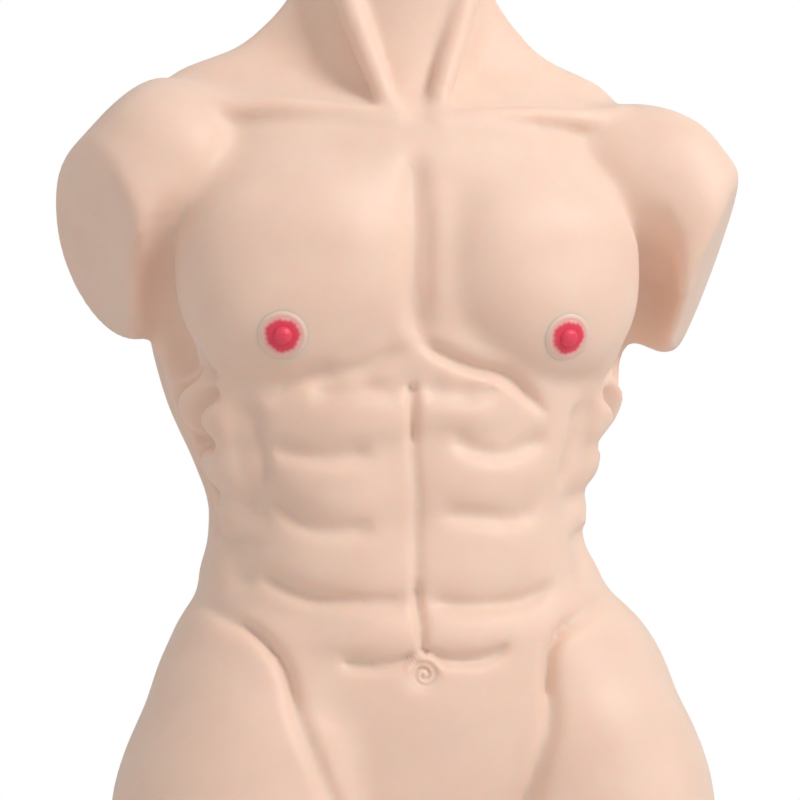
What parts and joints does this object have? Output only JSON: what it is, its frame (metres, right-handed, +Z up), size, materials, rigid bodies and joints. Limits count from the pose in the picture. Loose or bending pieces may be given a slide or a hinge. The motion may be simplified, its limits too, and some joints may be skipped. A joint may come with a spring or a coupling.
{
  "type": "body opponent mannequin",
  "caption": "Life-size muscular male torso mannequin with a soft skin, cut neck, arms and thighs, a foam core and a steel frame that bends at the waist.",
  "frame": {"origin": "centre of the bounding box on the plane of the two cut thighs", "axes": "+Z up towards the neck, -Y the way the chest faces, +X the mannequin's own left"},
  "size_m": [0.4722, 0.2292, 0.78],
  "materials": {
    "skin": "matt soft skin-coloured elastomer with faint pores",
    "areola": "matt pale pink elastomer",
    "nipple": "matt red-tinted elastomer",
    "foam": "open polyurethane foam",
    "steel": "grey powder coat",
    "zinc": "bright zinc plate",
    "friction": "dark friction lining"
  },
  "bodies": {
    "pelvis": {"waist_skin": "skin", "pelvis_skin": "skin", "waist_core": "foam", "pelvis_core": "foam", "pelvis_bar": "steel", "pelvis_hub": "steel", "lower_spine_tube": "steel", "left_leg_post": "steel", "right_leg_post": "steel", "left_foot_plate": "steel", "right_foot_plate": "steel", "hinge_tongue": "zinc", "left_foot_bush": "zinc", "right_foot_bush": "zinc", "left_foot_bolt": "zinc", "right_foot_bolt": "zinc", "left_friction_washer": "friction", "right_friction_washer": "friction"},
    "chest": {"chest_skin": "skin", "chest_core": "foam", "left_areola": "areola", "right_areola": "areola", "left_nipple": "nipple", "right_nipple": "nipple", "shoulder_bar": "steel", "shoulder_hub": "steel", "upper_spine_tube": "steel", "neck_post": "steel", "neck_plate": "steel", "neck_bush": "zinc", "neck_bolt": "zinc", "left_arm_post": "steel", "right_arm_post": "steel", "left_arm_plate": "steel", "right_arm_plate": "steel", "hinge_fork": "zinc", "hinge_bolt": "zinc", "hinge_nut": "zinc"}
  },
  "joints": [
    {"name": "waist_bend", "type": "hinge", "parent": "pelvis", "child": "chest", "pos_m": [0, 0.022, 0.35], "axis": [1, 0, 0], "range_deg": [-10, 30], "deforming": ["waist_skin", "waist_core"]}
  ]
}
